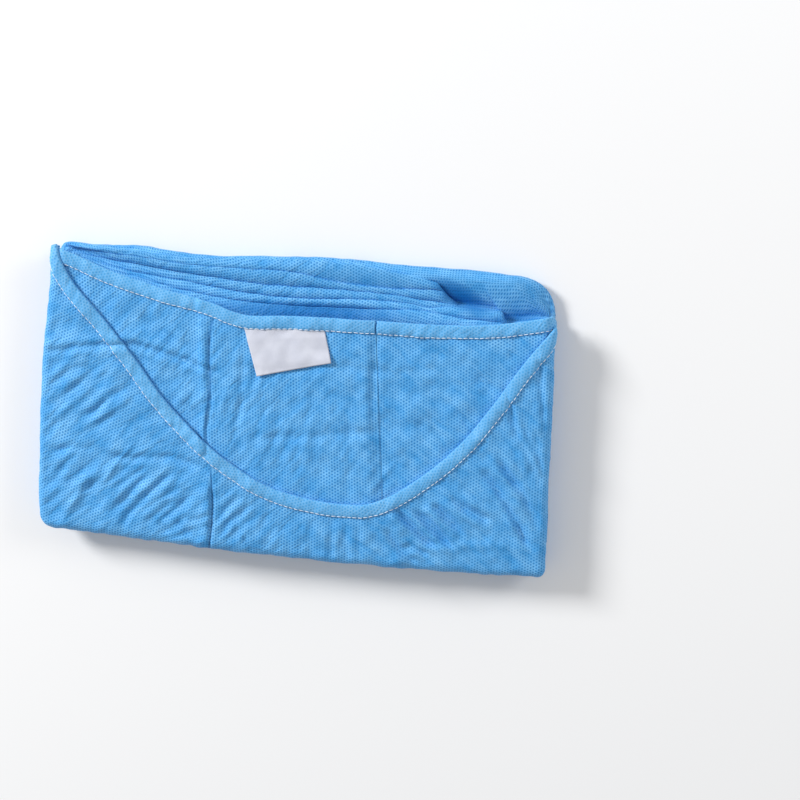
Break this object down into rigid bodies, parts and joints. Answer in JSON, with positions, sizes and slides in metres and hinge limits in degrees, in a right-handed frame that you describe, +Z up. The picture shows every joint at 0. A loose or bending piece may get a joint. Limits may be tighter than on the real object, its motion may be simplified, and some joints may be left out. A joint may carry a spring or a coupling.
{
  "type": "folded disposable protective gown",
  "caption": "Disposable nonwoven protective gown folded flat into a rectangular pack, with bound neckline, overlapping back panels and a blank neck label.",
  "frame": {"origin": "middle of the flat underside, on the table", "axes": "+X across the folded pack, along its longest side; +Y from the bottom fold towards the folds behind the neck; +Z up, away from the table"},
  "size_m": [0.3108, 0.1836, 0.0266],
  "materials": {
    "gown_cloth": "blue spunbond nonwoven with a pattern of point bonds, soft sheen",
    "binding_cloth": "double layer of the same blue nonwoven, stitched in white",
    "label_cloth": "matt white woven tape, blank"
  },
  "bodies": {
    "root": {"folded_layers": "gown_cloth", "back_panel_right": "gown_cloth", "back_panel_left": "gown_cloth", "front_panel": "gown_cloth", "back_binding_right": "binding_cloth", "back_binding_left": "binding_cloth", "front_neck_binding": "binding_cloth", "neck_label": "label_cloth"}
  },
  "joints": []
}
